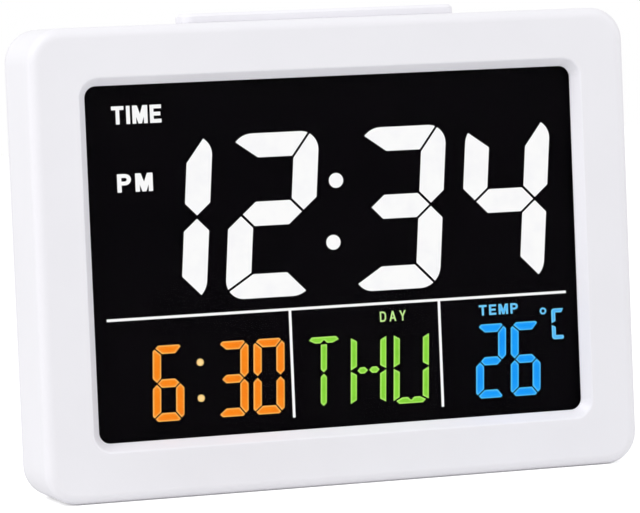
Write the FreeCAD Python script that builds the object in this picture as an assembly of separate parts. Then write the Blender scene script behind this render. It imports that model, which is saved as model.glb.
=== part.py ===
import FreeCAD, Part
import math
import os

# Desk day clock with a colour segment display, a snooze bar on top and its controls on the back.
# Millimetres. +X is to the right seen from the front, the front faces -Y, +Z is up.
# The origin is on the surface the clock stands on, under the middle of the case.

Vector = FreeCAD.Vector

# Case
case_width = 145.0
case_height = 108.5
corner_radius = 7.8
front_edge_radius = 2.4
rear_depth = 6.8
rear_edge_chamfer = 5.7
wall = 2.0
lip_depth = 1.5
lip_thickness = 1.0
lip_clearance = 0.15
cover_room_chamfer = 3.3
bond = 0.5
past = 1.0
hidden_sides = 16
tight_radius = 2.2
tight_steps = 3

# Window in the front of the case
bezel_level = 13.45
window_corner = 2.7
window_depth = 2.8
window_land = 0.3
bevel_width = 1.9
bevel_edge_radius = 0.5

# Clear window pane, set in a pocket behind the bezel
pane_overlap = 2.2
pane_thickness = 1.0
pane_clearance = 0.15
pocket_rim = 1.0

# Display stack, from front to back
pane_gap = 0.3
segment_thickness = 0.12
glass_thickness = 1.1
contact_ledge = 4.0
film_thickness = 0.2
guide_thickness = 3.0
tray_wall = 1.0
tray_clearance = 0.2
tray_lip_gap = 0.4
tray_window_count = 3
tray_window_bar = 6.0
tray_window_height = 34.0
tray_window_above = 8.0
zebra_depth = 1.6
zebra_inset = 11.4
zebra_clearance = 0.2

# Hooks that hold the foot of the tray
hook_x = 32.0
hook_width = 8.0
hook_thickness = 2.0
hook_gap = 0.2
hook_catch = 1.2

# Main board, behind the upper half of the display
board_thickness = 1.6
board_inset = 13.5
board_height = 43.6
board_top_gap = 2.9
ear_width = 6.2
ear_height = 8.0
stay_below_top = 24.5
stay_radius = 2.7
stay_gap = 0.1
web_thickness = 1.3

# Screws
small_shank_radius = 1.0
small_head_radius = 1.8
small_head_height = 1.2
small_screw_grip = 5.0
case_shank_radius = 1.3
case_head_radius = 2.4
case_head_height = 1.8
case_screw_length = 9.0
shank_clearance = 0.02
screw_hole_clearance = 0.2
case_screw_level = 13.0
case_boss_radius = 3.1
case_boss_gap = 0.35
case_boss_tray_gap = 0.2
sink_radius = 2.8
sink_depth = 4.0
sink_wall = 1.3
boss_gap = 0.1
boss_web_stop = 3.0
driver_slot = 0.5
driver_reach = 1.4
driver_depth = 1.0

# Snooze bar
snooze_length = 66.5
snooze_width = 9.0
snooze_rise = 2.2
snooze_behind_front = 13.0
snooze_travel = 0.9
snooze_edge_chamfer = 0.7
snooze_corner = 2.6
snooze_clearance = 0.25
snooze_flange = 1.2
snooze_flange_height = 1.1
flange_gap = 0.2
snooze_switch_x = 20.0
snooze_leg = 3.0
snooze_switch_below = 1.0

# Controls on the back
panel_width = 96.0
panel_height = 13.0
panel_below_top = 18.0
panel_corner = 3.0
panel_depth = 1.6
panel_pad_margin = 1.5
button_names = ("set", "alarm", "up", "down", "light")
button_first_x = 36.0
button_pitch = 13.5
button_width = 8.4
button_height = 5.6
button_corner = 1.6
button_rise = 1.1
button_clearance = 0.25
button_flange = 1.0
button_travel = 0.8
button_stem = 3.0
slider_x = -35.5
slider_width = 4.6
slider_height = 3.4
slider_travel = 3.0
slider_flange_length = 5.0
slider_groove_pitch = 1.2
slider_groove_width = 0.5
slider_groove_depth = 0.4
slider_arm_height = 3.2

# Switches on the main board
tact_size = 6.0
tact_height = 3.5
tact_plunger = 2.8
tact_plunger_height = 0.8
switch_body_length = 9.6
switch_body_height = 4.4
switch_body_depth = 3.6
switch_lever = 1.6
switch_lever_height = 2.6
switch_slot_depth = 0.8
switch_slot_margin = 0.3
contact_gap = 0.1

# Battery bay: three small round cells side by side
cell_radius = 5.25
cell_length = 43.6
cell_nub_radius = 1.9
cell_nub_length = 0.9
cell_gap = 0.9
cell_count = 3
cell_clearance = 0.5
cell_rib_thickness = 0.5
cell_rib_height = 2.4
cell_rib_length = 24.0
bay_centre_z = 31.0
bay_gap = 2.88
bay_wall = 1.4
bay_floor = 1.2
spring_length = 4.2
spring_base_radius = 3.6
spring_tip_radius = 2.1
spring_wire = 0.7
spring_turns = 2
spring_steps = 8
contact_thickness = 0.3
contact_size = 8.6

# Battery door, hinged on its lower edge
door_thickness = 1.6
door_margin = 1.6
door_clearance = 0.25
door_corner = 1.2
door_seat_gap = 0.05
tab_width = 8.0
tab_length = 1.8
tab_thickness = 1.0
tab_root = 4.0
tab_drop = 0.3
tab_x = 16.0
tab_side_gap = 0.4
tab_relief = 2.2
latch_width = 12.0
latch_thickness = 1.1
latch_drop = 5.0
latch_gap = 0.9
latch_side_gap = 0.4
latch_end_gap = 0.8
latch_reach = 2.0
notch_depth = 1.0
notch_radius = 8.0
notch_length = 14.0
grip_count = 4
grip_pitch = 2.2
grip_length = 14.0
grip_width = 0.8
grip_depth = 0.35
grip_below_top = 9.5

# Buzzer, power inlet and vents
side_inset = 23.5
side_row_above_board = 2.0
buzzer_radius = 7.0
buzzer_height = 6.0
buzzer_clearance = 0.2
buzzer_ring = 1.2
buzzer_ring_height = 4.0
buzzer_end_gap = 0.3
sound_slot_count = 5
sound_slot_pitch = 2.1
sound_slot_height = 1.0
sound_round = 5.6
inlet_z = 22.0
socket_width = 7.5
socket_height = 2.6
socket_length = 5.6
socket_wall = 0.35
socket_chamfer = 0.9
socket_back = 0.6
tongue_width = 3.8
tongue_thickness = 0.5
tongue_inset = 0.8
inlet_clearance = 0.3
inlet_corner = 0.7
inlet_recess_width = 11.5
inlet_recess_height = 7.5
inlet_recess_corner = 2.0
inlet_recess_depth = 0.8
inlet_board_width = 13.0
inlet_board_length = 11.0
inlet_board_thickness = 1.0
rail_inside = 1.2
rail_outside = 1.6
rail_clearance = 0.1
vent_length = 12.0
vent_height = 1.4
vent_pitch = 3.2
vent_count = 4

# Small parts on the board
chip_radius = 6.0
chip_height = 1.0
chip_above_foot = 13.0
crystal_radius = 1.5
crystal_length = 6.0
crystal_x = 14.0
sensor_radius = 1.2
sensor_reach = 8.0
sensor_length = 2.4
sensor_above_vent = 4.0
lead_size = 0.4
lead_pitch = 1.0
led_count = 6
led_strip_inset = 12.9
led_length = 3.5
led_height = 1.2
led_depth = 2.0
led_strip_thickness = 0.4
led_strip_margin = 0.2
guide_lamp_gap = 0.3

# Layout of the display, drawn for a window of this size and stretched with it.
# Places are to the right of and below the window's upper left corner.
layout_width = 118.4
layout_height = 81.6
digit_height = 38.1
digit_width = 21.15
digit_bar = 6.0
digit_beam = 5.6
digit_corner = 4.7
digit_middle = 19.5
digit_gap = 0.6
digit_lean = 0.085
digit_left_cut = 1.6
digit_top_cut = 2.2
digit_foot_cut = 0.0
digit_top = 12.45
digit_lefts = (7.7, 33.45, 64.85, 90.95)
time_digits = (1, 2, 3, 4)
time_dots = ((59.85, 24.3), (58.6, 38.65))
time_dot_radius = 1.75
small_height = 17.5
small_width = 7.5
small_stroke = 1.95
small_corner = 1.3
small_gap = 0.32
small_cut = 0.3
small_lean = 0.04
small_top = 60.05
alarm_lefts = (13.65, 29.1, 37.85)
alarm_digits = (6, 3, 0)
alarm_dots = ((25.16, 64.5), (25.05, 72.8))
alarm_dot_radius = 0.85
dot_sides = 16
temperature_lefts = (92.8, 101.55)
temperature_digits = (2, 6)
letter_height = 16.9
letter_width = 8.7
letter_stroke = 1.45
letter_gap = 0.35
letter_cut = 0.8
letter_bar_cut = 0.7
letter_notch = 0.8
letter_lean = 0.045
letter_top = 60.5
letter_lefts = (50.6, 61.6, 72.2)
day_letters = ("T", "H", "U")
line_thickness = 0.6
line_level = 53.6
line_ends = (3.4, 116.1)
divider_x = (47.3, 84.05)
divider_bottom = 78.8

lit_segments = {0: "abcdef", 1: "bc", 2: "abged", 3: "abgcd", 4: "fgbc", 6: "afgecd"}
lit_strokes = {"T": "ail", "H": "fegjbc", "U": "febcd"}

# Faces and levels worked out from the sizes above. The case is as deep as its display and its cells.
stack_depth = window_depth + pane_thickness + pane_gap + segment_thickness
stack_depth += 2 * glass_thickness + 2 * film_thickness + guide_thickness + tray_wall
cell_pitch = 2 * cell_radius + cell_gap
bay_depth = door_thickness + 3 * cell_clearance + 2 * cell_radius + bay_floor
case_depth = stack_depth + bay_gap + bay_depth
front_y = -case_depth / 2
back_y = case_depth / 2
parting_y = back_y - rear_depth
inner_back_y = back_y - wall
bezel_y = front_y + wall
pane_y = front_y + window_depth
pane_back_y = pane_y + pane_thickness
segment_y = pane_back_y + pane_gap
glass_y = segment_y + segment_thickness
rear_glass_y = glass_y + glass_thickness
film_y = rear_glass_y + glass_thickness
guide_y = film_y + film_thickness
reflector_y = guide_y + guide_thickness
tray_y = reflector_y + film_thickness
board_y = tray_y + tray_wall
board_back_y = board_y + board_thickness
inner_top = case_height - wall
case_screw_inset = wall + lip_clearance + lip_thickness + case_boss_gap + case_boss_radius
bezel_side = case_screw_inset + case_boss_radius + case_boss_tray_gap
bezel_side += tray_wall + tray_clearance + pane_overlap
window_width = case_width - 2 * bezel_side
window_height = case_height - 2 * bezel_level
window_centre_z = case_height / 2
window_left = -window_width / 2
window_top = window_centre_z + window_height / 2
stretch_x = window_width / layout_width
stretch_z = window_height / layout_height
glass_width = window_width + 2 * pane_overlap
glass_height = window_height + 2 * pane_overlap
glass_top = window_centre_z + glass_height / 2
glass_bottom = window_centre_z - glass_height / 2
stack_width = glass_width + 2 * tray_clearance
tray_width = stack_width + 2 * tray_wall
tray_top = glass_top + contact_ledge + tray_clearance + tray_wall
tray_bottom = glass_bottom - tray_clearance - tray_wall
zebra_length = glass_width - 2 * zebra_inset
zebra_low = glass_top + (contact_ledge - zebra_depth) / 2
board_top = inner_top - board_top_gap
board_bottom = board_top - board_height
board_width = case_width - 2 * board_inset
side_row_z = board_bottom + side_row_above_board
stay_x = tray_width / 2 + stay_radius + stay_gap
stay_z = case_height - stay_below_top
case_screw_x = case_width / 2 - case_screw_inset
case_screw_levels = (case_screw_level, case_height - case_screw_level)
sink_floor_y = back_y - sink_depth
sink_end_y = sink_floor_y - sink_wall
boss_end_y = sink_end_y - boss_gap
snooze_y = front_y + snooze_behind_front
snooze_switch_y = board_back_y + tact_size / 2
snooze_plunger_top = board_top - snooze_switch_below
panel_z = case_height - panel_below_top
panel_floor_y = back_y - panel_depth
panel_inner_y = panel_floor_y - wall
button_top_y = panel_floor_y + button_rise
flange_back_y = panel_inner_y - flange_gap / 2
flange_front_y = flange_back_y - button_flange
door_back_y = back_y - door_thickness
bay_length = cell_length + cell_nub_length + spring_length + 2 * contact_thickness
bay_height = (cell_count - 1) * cell_pitch + 2 * cell_radius + 2 * cell_clearance
cell_y = door_back_y - 2 * cell_clearance - cell_radius
bay_floor_y = cell_y - cell_radius - cell_clearance
bay_top = bay_centre_z + bay_height / 2
door_width = bay_length + 2 * door_margin
door_height = bay_height + 2 * door_margin
door_bottom = bay_centre_z - door_height / 2
door_top = bay_centre_z + door_height / 2
buzzer_x = case_width / 2 - side_inset
vent_x = -buzzer_x
inlet_x = buzzer_x
socket_y = back_y - inlet_recess_depth
inlet_board_high = inlet_z - socket_height / 2
inlet_board_low = inlet_board_high - inlet_board_thickness
chip_z = board_bottom + chip_above_foot


def save(name, shape):
    """Write one sub-part to its own file."""
    shape.exportStep("parts/" + name + ".step")


def fused(shapes):
    """One solid from several that overlap or touch."""
    result = shapes[0]
    for shape in shapes[1:]:
        result = result.fuse(shape)
    return result.removeSplitter()


def rounded_outline(width, height, radius, x, y, z):
    """Closed outline in an upright plane at y: a rectangle round (x, z) with four rounded corners.

    Corners of a tight radius are drawn in a few straight steps, the others as arcs.
    """
    steps = tight_steps if radius < tight_radius else 2
    bends = []
    for quarter, (side, level) in enumerate(((1, 1), (-1, 1), (-1, -1), (1, -1))):
        centre_x = x + side * (width / 2 - radius)
        centre_z = z + level * (height / 2 - radius)
        points = []
        for step in range(steps + 1):
            angle = math.pi / 2 * (quarter + step / steps)
            points.append(Vector(centre_x + radius * math.cos(angle), y, centre_z + radius * math.sin(angle)))
        bends.append(points)
    edges = []
    for index, points in enumerate(bends):
        if radius < tight_radius:
            edges += [Part.LineSegment(one, two).toShape() for one, two in zip(points, points[1:])]
        else:
            edges.append(Part.Arc(*points).toShape())
        edges.append(Part.LineSegment(points[-1], bends[(index + 1) % len(bends)][0]).toShape())
    return Part.Wire(edges)


def plate(width, height, radius, y_front, y_back, x=0.0, z=window_centre_z):
    """Upright plate with rounded corners between two Y levels."""
    outline = rounded_outline(width, height, radius, x, y_front, z)
    return Part.Face(outline).extrude(Vector(0, y_back - y_front, 0))


def block(x_low, x_high, y_low, y_high, z_low, z_high):
    """Rectangular block from its six limits."""
    corner = Vector(x_low, y_low, z_low)
    return Part.makeBox(x_high - x_low, y_high - y_low, z_high - z_low, corner)


def slab(width, height, y_low, y_high, x, z):
    """Square-cornered block round (x, z) between two Y levels."""
    return block(x - width / 2, x + width / 2, y_low, y_high, z - height / 2, z + height / 2)


def sheet(width, y_low, y_high, z_low, z_high):
    """Upright sheet, centred in X, between two heights."""
    return block(-width / 2, width / 2, y_low, y_high, z_low, z_high)


def rod(radius, y_front, y_back, x, z):
    """Cylinder along Y."""
    return Part.makeCylinder(radius, y_back - y_front, Vector(x, y_front, z), Vector(0, 1, 0))


def facet_outline(radius, x, y, z):
    """Closed many-sided outline in an upright plane at y, for round things that stay out of sight."""
    corners = []
    for index in range(hidden_sides):
        angle = 2 * math.pi * index / hidden_sides
        corners.append(Vector(x + radius * math.cos(angle), y, z + radius * math.sin(angle)))
    return Part.makePolygon(corners + corners[:1])


def facet_rod(radius, y_front, y_back, x, z):
    """Many-sided bar along Y in place of a cylinder."""
    outline = facet_outline(radius, x, y_front, z)
    return Part.Face(outline).extrude(Vector(0, y_back - y_front, 0))


def level_plate(length, width, radius, z_low, z_high):
    """Level plate round the snooze bar's centre, with rounded corners, between two heights."""
    y = snooze_y
    body = block(-length / 2, length / 2, y - width / 2, y + width / 2, z_low, z_high)
    uprights = [edge for edge in body.Edges if edge.BoundBox.ZLength > (z_high - z_low) / 2]
    return body.makeFillet(radius, uprights)


def edges_at_y(shape, y):
    """Edges of the shape that lie wholly in the upright plane at y."""
    boxes = [(edge, edge.BoundBox) for edge in shape.Edges]
    return [edge for edge, box in boxes if abs(box.YMin - y) < 0.001 and abs(box.YMax - y) < 0.001]


def edges_at_z(shape, z):
    """Edges of the shape that lie wholly in the level plane at z."""
    boxes = [(edge, edge.BoundBox) for edge in shape.Edges]
    return [edge for edge, box in boxes if abs(box.ZMin - z) < 0.001 and abs(box.ZMax - z) < 0.001]


def case_prism(inset, y_low, y_high):
    """Straight length of the case's outline, drawn in by an inset."""
    width = case_width - 2 * inset
    height = case_height - 2 * inset
    return plate(width, height, corner_radius - inset, y_low, y_high)


def case_outside():
    """The outer form of the whole case, with its front edge rounded and its rear edge chamfered."""
    body = case_prism(0, front_y, back_y)
    body = body.makeFillet(front_edge_radius, edges_at_y(body, front_y))
    return body.makeChamfer(rear_edge_chamfer, edges_at_y(body, back_y))


def ahead_of_parting():
    """Space in front of the plane where the two shells meet."""
    return sheet(2 * case_width, front_y - past, parting_y, -past, case_height + past)


def window_cutter():
    """The window opening: a short straight land behind a bevel that flares forward."""
    land = plate(window_width, window_height, window_corner, front_y, pane_y)
    bevel_y = pane_y - window_land
    wide = window_width + 2 * bevel_width
    tall = window_height + 2 * bevel_width
    inner = rounded_outline(window_width, window_height, window_corner, 0, bevel_y, window_centre_z)
    outer = rounded_outline(wide, tall, window_corner + bevel_width, 0, front_y, window_centre_z)
    flare = Part.makeLoft([inner, outer], True, True)
    return land.fuse(flare)


def soften_bevel(shell):
    """Round over the edge where the bevel meets the front face."""
    limit = window_width / 2 + bevel_width + bond
    rim_edges = [edge for edge in edges_at_y(shell, front_y) if abs(edge.BoundBox.XMax) < limit]
    rim_edges = [edge for edge in rim_edges if abs(edge.BoundBox.XMin) < limit]
    return shell.makeFillet(bevel_edge_radius, rim_edges)


def wall_web(side, x, z, y_stop):
    """Web from a post to the nearer side wall, standing on the back of the bezel."""
    wall_x = case_width / 2 - wall / 2
    low = min(side * x, side * wall_x)
    high = max(side * x, side * wall_x)
    half = web_thickness / 2
    return block(low, high, bezel_y - bond, y_stop, z - half, z + half)


def display_stays():
    """Two posts behind the bezel that the display tray and the main board are screwed to."""
    posts = []
    for side in (-1, 1):
        posts.append(facet_rod(stay_radius, bezel_y - bond, tray_y, side * stay_x, stay_z))
        posts.append(wall_web(side, stay_x, stay_z, tray_y - tray_wall))
    return posts


def tray_hooks():
    """Two springy hooks that reach back under the tray and catch its lower edge."""
    top = tray_bottom - hook_gap
    back = board_y + hook_gap + hook_thickness
    hooks = []
    for side in (-1, 1):
        low = side * hook_x - hook_width / 2
        high = side * hook_x + hook_width / 2
        hooks.append(block(low, high, bezel_y - bond, back, top - hook_thickness, top))
        hooks.append(block(low, high, board_y + hook_gap, back, top - hook_thickness, top + hook_catch))
    return hooks


def case_bosses():
    """Tall bosses in the front case that take the case screws."""
    bosses = []
    for side in (-1, 1):
        for z in case_screw_levels:
            bosses.append(facet_rod(case_boss_radius, bezel_y - bond, boss_end_y, side * case_screw_x, z))
            bosses.append(wall_web(side, case_screw_x, z, parting_y - boss_web_stop))
    return bosses


def pane_pocket():
    """Raised rim behind the bezel, and the room in it that the pane drops into."""
    width = glass_width + 2 * pane_clearance
    height = glass_height + 2 * pane_clearance
    rim_width = width + 2 * pocket_rim
    rim_height = height + 2 * pocket_rim
    rim = slab(rim_width, rim_height, bezel_y - bond, pane_back_y, 0, window_centre_z)
    room = slab(width, height, pane_y, pane_back_y + past, 0, window_centre_z)
    return rim, room


def snooze_slot():
    """Opening in the top wall for the snooze bar."""
    length = snooze_length + 2 * snooze_clearance
    width = snooze_width + 2 * snooze_clearance
    return level_plate(length, width, snooze_corner, inner_top - past, case_height + past)


def screw_pilots():
    """Blind holes for the screws in the bosses and the display posts."""
    pilots = []
    for side in (-1, 1):
        for z in case_screw_levels:
            start = sink_floor_y - case_screw_length - bond
            pilots.append(facet_rod(case_shank_radius, start, boss_end_y + past, side * case_screw_x, z))
        start = tray_y - small_screw_grip - bond
        pilots.append(facet_rod(small_shank_radius, start, tray_y + past, side * stay_x, stay_z))
    return pilots


def make_front_case():
    """Deep front shell: bezel, bevelled window, four side walls, pane pocket, posts and hooks."""
    shell = case_outside().common(ahead_of_parting())
    shell = shell.cut(case_prism(wall, bezel_y, parting_y + past))
    rim, room = pane_pocket()
    shell = fused([shell, rim] + display_stays() + case_bosses() + tray_hooks())
    shell = shell.cut(room).cut(window_cutter())
    shell = soften_bevel(shell)
    shell = shell.cut(snooze_slot())
    for pilot in screw_pilots():
        shell = shell.cut(pilot)
    save("front_case", shell)


def make_snooze_bar():
    """Bar that stands proud of the top, with a captive flange and two legs over its switches."""
    top = case_height + snooze_rise
    corner = snooze_corner - snooze_clearance
    bar = level_plate(snooze_length, snooze_width, corner, inner_top - past, top)
    bar = bar.makeChamfer(snooze_edge_chamfer, edges_at_z(bar, top))
    flange_top = inner_top - flange_gap
    flange_bottom = flange_top - snooze_flange_height
    reach_x = snooze_length / 2 + snooze_flange
    reach_y = snooze_width / 2 + snooze_flange
    flange = block(-reach_x, reach_x, snooze_y - reach_y, snooze_y + reach_y, flange_bottom, flange_top)
    pieces = [bar, flange]
    leg_end = snooze_plunger_top + snooze_travel + contact_gap
    front = snooze_switch_y - snooze_leg / 2
    for side in (-1, 1):
        left = side * snooze_switch_x - snooze_leg / 2
        right = left + snooze_leg
        pieces.append(block(left, right, front, front + snooze_leg, leg_end, flange_bottom + bond))
    save("snooze_bar", fused(pieces))


def make_snooze_switches():
    """Two push switches on the main board under the snooze bar, drawn with their plungers pressed in."""
    top = snooze_plunger_top - tact_plunger_height
    front = snooze_switch_y - tact_plunger / 2
    switches = []
    for side in (-1, 1):
        x = side * snooze_switch_x
        half = tact_size / 2
        body = block(x - half, x + half, board_back_y, board_back_y + tact_size, top - tact_height, top)
        left = x - tact_plunger / 2
        plunger = block(left, left + tact_plunger, front, front + tact_plunger, top, snooze_plunger_top)
        switches.append(body.fuse(plunger))
    save("snooze_switches", Part.makeCompound(switches))


def button_places():
    """Name and X of each button, from the first to the last."""
    return [(name, button_first_x - index * button_pitch) for index, name in enumerate(button_names)]


def make_buttons():
    """Five buttons, each with a captive flange and a stem over its switch."""
    stem_end = board_back_y + tact_height + tact_plunger_height + button_travel + contact_gap
    wide = button_width + 2 * button_flange
    tall = button_height + 2 * button_flange
    for name, x in button_places():
        cap = plate(button_width, button_height, button_corner, flange_front_y, button_top_y, x, panel_z)
        flange = slab(wide, tall, flange_front_y, flange_back_y, x, panel_z)
        stem = slab(button_stem, button_stem, stem_end, flange_front_y + bond, x, panel_z)
        save(name + "_button", fused([cap, flange, stem]))


def make_tact_switches():
    """Push switches on the main board, one under each button, drawn with their plungers pressed in."""
    body_end = board_back_y + tact_height
    switches = []
    for name, x in button_places():
        body = slab(tact_size, tact_size, board_back_y, body_end, x, panel_z)
        plunger = slab(tact_plunger, tact_plunger, body_end, body_end + tact_plunger_height, x, panel_z)
        switches.append(body.fuse(plunger))
    save("tact_switches", Part.makeCompound(switches))


def make_alarm_slider():
    """Slide knob in the back panel, its captive flange, and the fork that carries the switch lever."""
    knob = slab(slider_width, slider_height, flange_front_y, button_top_y, slider_x, panel_z)
    groove_y = button_top_y - slider_groove_depth
    groove_end = button_top_y + past
    for offset in (-slider_groove_pitch, 0, slider_groove_pitch):
        x = slider_x + offset
        knob = knob.cut(slab(slider_groove_width, 2 * slider_height, groove_y, groove_end, x, panel_z))
    flange_low = slider_x - slider_width / 2 - slider_flange_length
    flange_high = slider_x + slider_width / 2 + slider_flange_length - slider_travel
    tall = slider_height / 2 + button_flange
    flange = block(flange_low, flange_high, flange_front_y, flange_back_y, panel_z - tall, panel_z + tall)
    lever_start = board_back_y + switch_body_depth
    lever_end = lever_start + switch_lever_height
    arm_front = lever_end - switch_lever_height / 2
    arm = slab(slider_width, slider_arm_height, arm_front, flange_front_y + bond, slider_x, panel_z)
    fork_width = switch_lever + 2 * contact_gap
    fork_end = lever_end + contact_gap
    fork = slab(fork_width, 2 * slider_arm_height, arm_front - past, fork_end, slider_x, panel_z)
    save("alarm_slider", fused([knob, flange, arm]).cut(fork))
    lever = slab(switch_lever, switch_lever, lever_start + contact_gap, lever_end, slider_x, panel_z)
    save("alarm_switch_lever", lever)


def make_alarm_switch():
    """Body of the slide switch on the main board, with the window that its lever stands in."""
    middle = slider_x + slider_travel / 2
    end = board_back_y + switch_body_depth
    body = slab(switch_body_length, switch_body_height, board_back_y, end, middle, panel_z)
    slot_width = slider_travel + switch_lever + 2 * switch_slot_margin
    slot_height = switch_lever + 2 * switch_slot_margin
    slot = slab(slot_width, slot_height, end - switch_slot_depth, end + past, middle, panel_z)
    save("alarm_switch", body.cut(slot))


def screw(shank_radius, head_radius, head_height, length, x, y, z):
    """Screw driven along -Y, with its head seated at y."""
    head = facet_rod(head_radius, y, y + head_height, x, z)
    return head.fuse(facet_rod(shank_radius - shank_clearance, y - length, y + shank_clearance, x, z))


def driver_cross(x, y, z):
    """Cross recess in a screw head whose top is at y."""
    upright = slab(driver_slot, 2 * driver_reach, y - driver_depth, y + past, x, z)
    return upright.fuse(slab(2 * driver_reach, driver_slot, y - driver_depth, y + past, x, z))


def make_screws():
    """Four case screws, and two small screws through the main board and the display tray."""
    case_screws = []
    tray_screws = []
    small_sizes = (small_shank_radius, small_head_radius, small_head_height)
    small_length = small_screw_grip + tray_wall + board_thickness
    for side in (-1, 1):
        x = side * case_screw_x
        for z in case_screw_levels:
            body = screw(
                case_shank_radius, case_head_radius, case_head_height, case_screw_length, x, sink_floor_y, z
            )
            case_screws.append(body.cut(driver_cross(x, sink_floor_y + case_head_height, z)))
        tray_screws.append(screw(*small_sizes, small_length, side * stay_x, board_back_y, stay_z))
    save("case_screws", Part.makeCompound(case_screws))
    save("display_screws", Part.makeCompound(tray_screws))


def ears(y_low, y_high, reach):
    """Lugs at both sides of the tray or the board, round the display posts."""
    lugs = []
    for side in (-1, 1):
        outer = side * (stay_x + ear_width / 2)
        inner = side * reach
        low = min(outer, inner)
        high = max(outer, inner)
        lugs.append(block(low, high, y_low, y_high, stay_z - ear_height / 2, stay_z + ear_height / 2))
    return lugs


def ear_holes(y_low, y_high):
    """Clearance holes for the display screws."""
    radius = small_shank_radius + screw_hole_clearance
    return [facet_rod(radius, y_low - past, y_high + past, side * stay_x, stay_z) for side in (-1, 1)]


def make_pane():
    """Clear window pane."""
    save("display_window", sheet(glass_width, pane_y, pane_back_y, glass_bottom, glass_top))


def make_glasses():
    """The two glasses of the display: the front one is taller, so its contacts reach past the rear one."""
    ledge_top = glass_top + contact_ledge
    save("lcd_front_glass", sheet(glass_width, glass_y, rear_glass_y, glass_bottom, ledge_top))
    save("lcd_rear_glass", sheet(glass_width, rear_glass_y, film_y, glass_bottom, glass_top))
    save("colour_film", sheet(glass_width, film_y, guide_y, glass_bottom, glass_top))


def make_backlight():
    """Light guide, its reflector, and the lamps that shine into its lower edge."""
    strip_top = glass_bottom + led_strip_thickness
    lamp_top = strip_top + led_depth
    save("light_guide", sheet(glass_width, guide_y, reflector_y, lamp_top + guide_lamp_gap, glass_top))
    save("reflector_sheet", sheet(glass_width, reflector_y, tray_y, glass_bottom, glass_top))
    strip_length = glass_width - 2 * led_strip_inset
    strip_front = guide_y + led_strip_margin
    strip_back = reflector_y - led_strip_margin
    save("led_strip", sheet(strip_length, strip_front, strip_back, glass_bottom, strip_top))
    pitch = (strip_length - 2 * led_length) / (led_count - 1)
    lamp_front = (guide_y + reflector_y - led_height) / 2
    lamps = []
    for index in range(led_count):
        left = (index - (led_count - 1) / 2) * pitch - led_length / 2
        lamps.append(
            block(left, left + led_length, lamp_front, lamp_front + led_height, strip_top, lamp_top)
        )
    save("backlight_leds", Part.makeCompound(lamps))


def tray_windows():
    """Openings in the back of the tray, below the main board."""
    pitch = stack_width / tray_window_count
    low = tray_bottom + tray_window_above
    high = low + tray_window_height
    openings = []
    for index in range(tray_window_count):
        x = (index - (tray_window_count - 1) / 2) * pitch
        half = (pitch - tray_window_bar) / 2
        openings.append(block(x - half, x + half, tray_y - past, board_y + past, low, high))
    return openings


def make_tray():
    """White tray that holds the display stack from behind, with two ears and a slot for the contacts."""
    body = sheet(tray_width, glass_y + tray_lip_gap, board_y, tray_bottom, tray_top)
    room = sheet(stack_width, glass_y, tray_y, tray_bottom + tray_wall, tray_top - tray_wall)
    body = fused([body.cut(room)] + ears(tray_y, board_y, tray_width / 2 - tray_wall))
    slot_length = zebra_length + 2 * zebra_clearance
    slot_low = zebra_low - zebra_clearance
    slot_high = zebra_low + zebra_depth + zebra_clearance
    cuts = [sheet(slot_length, tray_y - past, board_y + past, slot_low, slot_high)]
    for cut in cuts + tray_windows() + ear_holes(tray_y, board_y):
        body = body.cut(cut)
    save("display_tray", body)


def make_zebra_strip():
    """Rubber contact strip from the ledge of the front glass back to the main board."""
    save("zebra_strip", sheet(zebra_length, rear_glass_y, board_y, zebra_low, zebra_low + zebra_depth))


def make_main_board():
    """Printed board across the top half, held by the two display screws."""
    body = sheet(board_width, board_y, board_back_y, board_bottom, board_top)
    body = fused([body] + ears(board_y, board_back_y, board_width / 2 - bond))
    for hole in ear_holes(board_y, board_back_y):
        body = body.cut(hole)
    save("main_board", body)


def make_board_parts():
    """Chip under its blob of resin, clock crystal and temperature sensor, on the back of the board."""
    save("chip_blob", facet_rod(chip_radius, board_back_y, board_back_y + chip_height, 0, chip_z))
    low = Vector(crystal_x, board_back_y + crystal_radius, chip_z - crystal_length / 2)
    save("clock_crystal", Part.makeCylinder(crystal_radius, crystal_length, low))
    tip = board_back_y + sensor_reach
    z = side_row_z + sensor_above_vent
    pieces = [rod(sensor_radius, tip - sensor_length, tip, vent_x, z)]
    for side in (-1, 1):
        x = vent_x + side * lead_pitch / 2
        pieces.append(slab(lead_size, lead_size, board_back_y, tip - sensor_length / 2, x, z))
    save("temperature_sensor", fused(pieces))


def bay_tub():
    """Outer form of the battery bay that stands in from the rear cover."""
    width = bay_length + 2 * bay_wall
    height = bay_height + 2 * bay_wall
    return slab(width, height, bay_floor_y - bay_floor, inner_back_y + bond, 0, bay_centre_z)


def bay_room():
    """Room for the cells and their contacts."""
    return slab(bay_length, bay_height, bay_floor_y, back_y + past, 0, bay_centre_z)


def cell_ribs():
    """Low ribs on the floor of the bay that keep the cells apart."""
    ribs = []
    for index in range(cell_count - 1):
        z = bay_centre_z + (index - (cell_count - 2) / 2) * cell_pitch
        top = bay_floor_y + cell_rib_height
        ribs.append(slab(cell_rib_length, cell_rib_thickness, bay_floor_y - bond, top, 0, z))
    return ribs


def door_rebate():
    """Shallow step round the bay that the door drops into."""
    width = door_width + 2 * door_clearance
    height = door_height + 2 * door_clearance
    corner = door_corner + door_clearance
    return plate(width, height, corner, door_back_y - door_seat_gap, back_y + past, 0, bay_centre_z)


def tab_slots():
    """Slots under the lower edge of the door opening for the door's tabs."""
    width = tab_width + 2 * tab_side_gap
    low = door_bottom - tab_length - bond
    high = door_bottom + door_margin + bond
    front = door_back_y - tab_thickness - tab_relief
    slots = []
    for side in (-1, 1):
        left = side * tab_x - width / 2
        slots.append(block(left, left + width, front, door_back_y + door_seat_gap, low, high))
    return slots


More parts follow.
